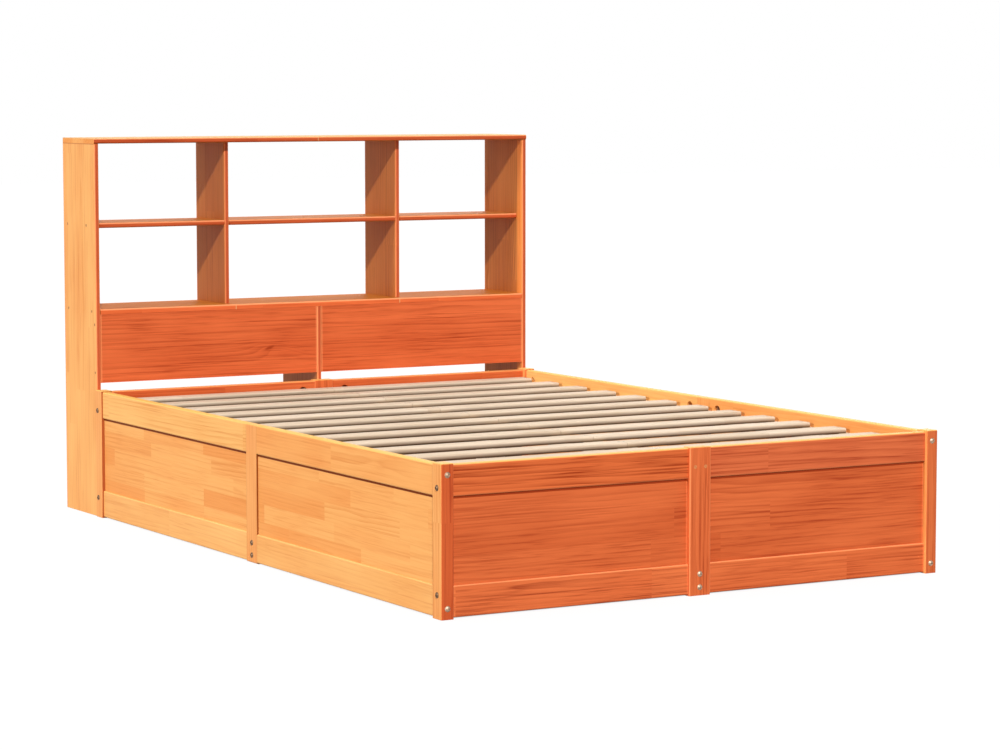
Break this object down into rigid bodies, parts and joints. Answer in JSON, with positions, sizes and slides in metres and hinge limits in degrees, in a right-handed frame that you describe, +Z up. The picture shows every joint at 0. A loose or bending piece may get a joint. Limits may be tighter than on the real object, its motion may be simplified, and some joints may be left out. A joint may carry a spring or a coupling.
{
  "type": "wooden bed with bookcase headboard",
  "caption": "Low panelled pine double bed with a slatted base and an open bookcase headboard of stained boards.",
  "frame": {"origin": "on the floor, under the middle of the whole bed and bookcase", "axes": "+Z up, +Y from the foot end to the bookcase, +X to the right seen from the foot"},
  "size_m": [1.4676, 2.3138, 1.1],
  "materials": {
    "stained_pine": "satin",
    "raw_pine": "matte",
    "steel": "satin"
  },
  "bodies": {
    "root": {"barrel_nuts": "steel", "beam_screws": "steel", "bookcase_screws": "steel", "bookcase_side_left": "stained_pine", "bookcase_side_right": "stained_pine", "bookcase_top": "stained_pine", "centre_beam": "raw_pine", "centre_partition": "stained_pine", "centre_post": "raw_pine", "divider_left": "stained_pine", "divider_right": "stained_pine", "floor_stretchers": "raw_pine", "foot_lower_rail_left": "stained_pine", "foot_lower_rail_right": "stained_pine", "foot_mid_post": "stained_pine", "foot_panel_left": "stained_pine", "foot_panel_right": "stained_pine", "foot_post_left": "stained_pine", "foot_post_right": "stained_pine", "foot_upper_rail_left": "stained_pine", "foot_upper_rail_right": "stained_pine", "frame_bolts": "steel", "front_panel_left": "stained_pine", "front_panel_right": "stained_pine", "head_mid_post": "stained_pine", "head_panels": "stained_pine", "head_post_left": "stained_pine", "head_post_right": "stained_pine", "head_rails": "stained_pine", "lower_shelf": "stained_pine", "middle_shelf": "stained_pine", "rail_studs": "steel", "side_lower_rail_left_foot": "stained_pine", "side_lower_rail_left_head": "stained_pine", "side_lower_rail_right_foot": "stained_pine", "side_lower_rail_right_head": "stained_pine", "side_mid_post_left": "stained_pine", "side_mid_post_right": "stained_pine", "side_panel_left_foot": "stained_pine", "side_panel_left_head": "stained_pine", "side_panel_right_foot": "stained_pine", "side_panel_right_head": "stained_pine", "side_upper_rail_left_foot": "stained_pine", "side_upper_rail_left_head": "stained_pine", "side_upper_rail_right_foot": "stained_pine", "side_upper_rail_right_head": "stained_pine", "slat_01": "raw_pine", "slat_02": "raw_pine", "slat_03": "raw_pine", "slat_04": "raw_pine", "slat_05": "raw_pine", "slat_06": "raw_pine", "slat_07": "raw_pine", "slat_08": "raw_pine", "slat_09": "raw_pine", "slat_10": "raw_pine", "slat_11": "raw_pine", "slat_12": "raw_pine", "slat_cleats": "raw_pine", "slat_screws": "steel"}
  },
  "joints": []
}
